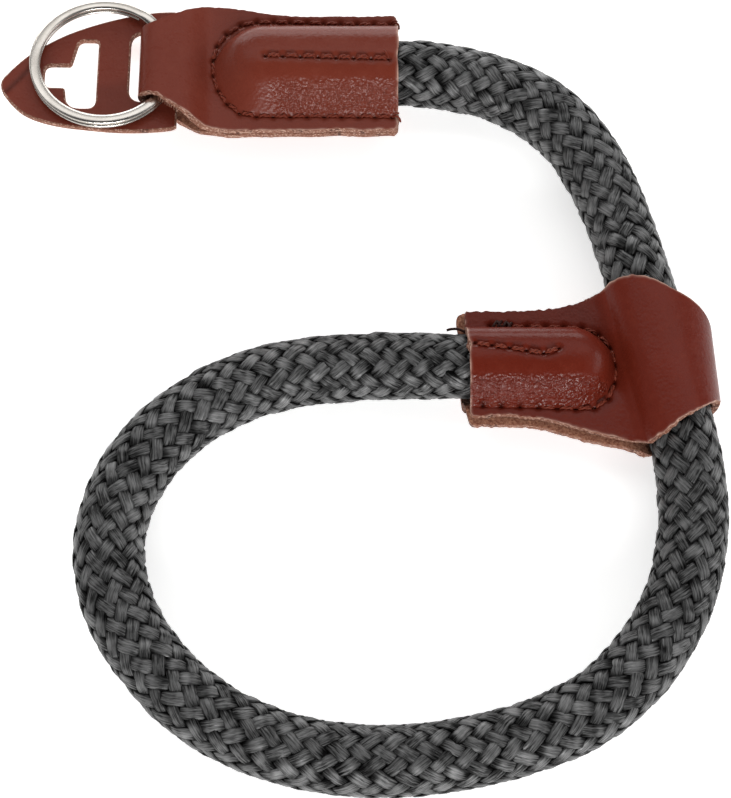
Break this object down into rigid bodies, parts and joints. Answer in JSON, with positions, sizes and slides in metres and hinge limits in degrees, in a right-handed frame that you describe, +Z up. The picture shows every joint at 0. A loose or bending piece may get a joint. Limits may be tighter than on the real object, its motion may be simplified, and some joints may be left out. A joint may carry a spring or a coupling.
{
  "type": "camera wrist strap",
  "caption": "Braided rope wrist strap: a wrist loop closed by a leather slider, with a sewn leather anchor that holds a split ring and a leather protector tab.",
  "frame": {"origin": "middle of the footprint of the leather and the ring, on the table that the strap lies on", "axes": "+X from the anchor towards the slider, along the anchor's sewn sleeve; +Y from the wrist loop towards the anchor; +Z up from the table"},
  "size_m": [0.1318, 0.1506, 0.0156],
  "materials": {
    "charcoal_braid": "coarse matt braid of charcoal polyester",
    "red_brown_leather": "smooth grain leather with raw edges",
    "nickel_plated_steel": "bright nickel plate"
  },
  "bodies": {
    "root": {"rope": "charcoal_braid", "anchor_leather": "red_brown_leather", "split_ring": "nickel_plated_steel", "protector_tab": "red_brown_leather", "slider_leather": "red_brown_leather"}
  },
  "joints": []
}
